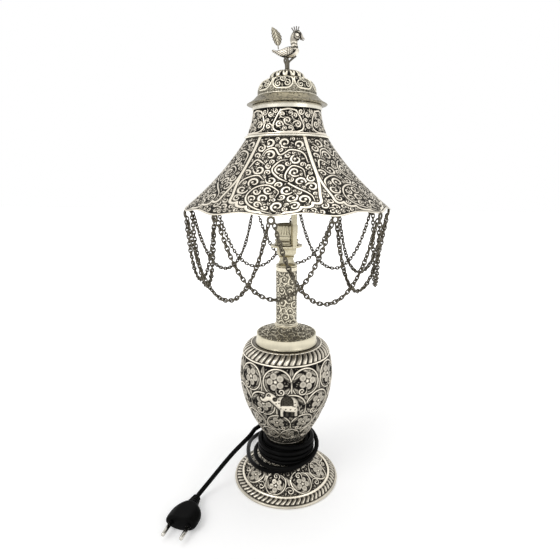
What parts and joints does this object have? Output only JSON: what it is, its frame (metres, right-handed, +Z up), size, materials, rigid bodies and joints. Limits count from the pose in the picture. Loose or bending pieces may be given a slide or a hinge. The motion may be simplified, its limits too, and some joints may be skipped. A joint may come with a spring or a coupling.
{
  "type": "table lamp",
  "caption": "Chased metal table lamp: bell foot, vase, slim column, flared pierced shade hung with chain swags, lift-off domed lid with a bird, cord wound at the waist.",
  "frame": {"origin": "on the table, under the lamp's axis, at the underside of the foot's rim", "axes": "+Z up the column; the lamp's front, a shade panel's middle, faces -Y; +X is to the right, the way the bird looks"},
  "size_m": [0.2117, 0.224, 0.4796],
  "materials": {
    "chased_silver": "chased relief, oxidised in the hollows",
    "polished_silver": "plain polished bands",
    "plated_fittings": "worn warm plating",
    "brass_fittings": "turned brass",
    "porcelain": "glazed white insulator",
    "black_vinyl": "glossy black flexible cord and moulded plug",
    "nickel_pins": "nickel plated",
    "oxidised_chain": "dark oxidised links"
  },
  "bodies": {
    "base": {"capital": "plated_fittings", "clamp_nut": "brass_fittings", "column": "chased_silver", "cord_gland": "black_vinyl", "cord_lead": "black_vinyl", "cord_tail": "black_vinyl", "cord_winding": "black_vinyl", "foot": "chased_silver", "harp": "plated_fittings", "holder_base": "plated_fittings", "holder_contact": "brass_fittings", "holder_insulator": "porcelain", "holder_sleeve": "plated_fittings", "inner_flex": "black_vinyl", "neck_band": "polished_silver", "neck_cap": "chased_silver", "plug_body": "black_vinyl", "plug_pin_left": "nickel_pins", "plug_pin_right": "nickel_pins", "plug_sleeve": "black_vinyl", "tie_nut": "brass_fittings", "tie_tube": "brass_fittings", "tie_washer": "brass_fittings", "vase_bowl": "chased_silver", "vase_shoulder": "chased_silver", "waist": "chased_silver"},
    "shade": {"shade_spider": "brass_fittings", "shade_collar": "chased_silver", "seam_ring": "polished_silver", "shade_skirt": "chased_silver", "eye_ring_01": "oxidised_chain", "eye_ring_02": "oxidised_chain", "eye_ring_03": "oxidised_chain", "eye_ring_04": "oxidised_chain", "eye_ring_05": "oxidised_chain", "eye_ring_06": "oxidised_chain", "eye_ring_07": "oxidised_chain", "eye_ring_08": "oxidised_chain", "eye_ring_09": "oxidised_chain", "eye_ring_10": "oxidised_chain", "eye_ring_11": "oxidised_chain", "eye_ring_12": "oxidised_chain"},
    "lid": {"lid_dome": "chased_silver", "lid_spigot": "plated_fittings", "petal_cap": "chased_silver", "finial_stem": "chased_silver", "bird_body": "chased_silver", "tail_feather": "plated_fittings"},
    "swag_01": {"chain_swag_01": "oxidised_chain"},
    "swag_02": {"chain_swag_02": "oxidised_chain"},
    "swag_03": {"chain_swag_03": "oxidised_chain"},
    "swag_04": {"chain_swag_04": "oxidised_chain"},
    "swag_05": {"chain_swag_05": "oxidised_chain"},
    "swag_06": {"chain_swag_06": "oxidised_chain"},
    "swag_07": {"chain_swag_07": "oxidised_chain"},
    "swag_08": {"chain_swag_08": "oxidised_chain"},
    "swag_09": {"chain_swag_09": "oxidised_chain"},
    "swag_10": {"chain_swag_10": "oxidised_chain"},
    "swag_11": {"chain_swag_11": "oxidised_chain"},
    "swag_12": {"chain_swag_12": "oxidised_chain"}
  },
  "joints": [
    {"name": "shade_turn", "type": "hinge", "parent": "base", "child": "shade", "pos_m": [0, 0, 0.3935], "axis": [0, 0, 1], "range_deg": [-180, 180]},
    {"name": "lid_lift", "type": "slide", "parent": "shade", "child": "lid", "axis": [0, 0, 1], "range_m": [0, 0.06]},
    {"name": "swag_swing_01", "type": "hinge", "parent": "shade", "child": "swag_01", "pos_m": [0.04495, -0.07785, 0.304], "axis": [-0.866, -0.5, 0], "range_deg": [0, 30]},
    {"name": "swag_swing_02", "type": "hinge", "parent": "shade", "child": "swag_02", "pos_m": [0.07635, -0.04408, 0.304], "axis": [0.5, 0.866, 0], "range_deg": [0, 30]},
    {"name": "swag_swing_03", "type": "hinge", "parent": "shade", "child": "swag_03", "pos_m": [0.08989, 0, 0.304], "axis": [0, -1, 0], "range_deg": [0, 30]},
    {"name": "swag_swing_04", "type": "hinge", "parent": "shade", "child": "swag_04", "pos_m": [0.07635, 0.04408, 0.304], "axis": [-0.5, 0.866, 0], "range_deg": [0, 30]},
    {"name": "swag_swing_05", "type": "hinge", "parent": "shade", "child": "swag_05", "pos_m": [0.04495, 0.07785, 0.304], "axis": [0.866, -0.5, 0], "range_deg": [0, 30]},
    {"name": "swag_swing_06", "type": "hinge", "parent": "shade", "child": "swag_06", "pos_m": [0, 0.08816, 0.304], "axis": [-1, 0, 0], "range_deg": [0, 30]},
    {"name": "swag_swing_07", "type": "hinge", "parent": "shade", "child": "swag_07", "pos_m": [-0.04495, 0.07785, 0.304], "axis": [0.866, 0.5, 0], "range_deg": [0, 30]},
    {"name": "swag_swing_08", "type": "hinge", "parent": "shade", "child": "swag_08", "pos_m": [-0.07635, 0.04408, 0.304], "axis": [-0.5, -0.866, 0], "range_deg": [0, 30]},
    {"name": "swag_swing_09", "type": "hinge", "parent": "shade", "child": "swag_09", "pos_m": [-0.08989, 0, 0.304], "axis": [0, 1, 0], "range_deg": [0, 30]},
    {"name": "swag_swing_10", "type": "hinge", "parent": "shade", "child": "swag_10", "pos_m": [-0.07635, -0.04408, 0.304], "axis": [0.5, -0.866, 0], "range_deg": [0, 30]},
    {"name": "swag_swing_11", "type": "hinge", "parent": "shade", "child": "swag_11", "pos_m": [-0.04495, -0.07785, 0.304], "axis": [-0.866, 0.5, 0], "range_deg": [0, 30]},
    {"name": "swag_swing_12", "type": "hinge", "parent": "shade", "child": "swag_12", "pos_m": [0, -0.08816, 0.304], "axis": [1, 0, 0], "range_deg": [0, 30]}
  ]
}
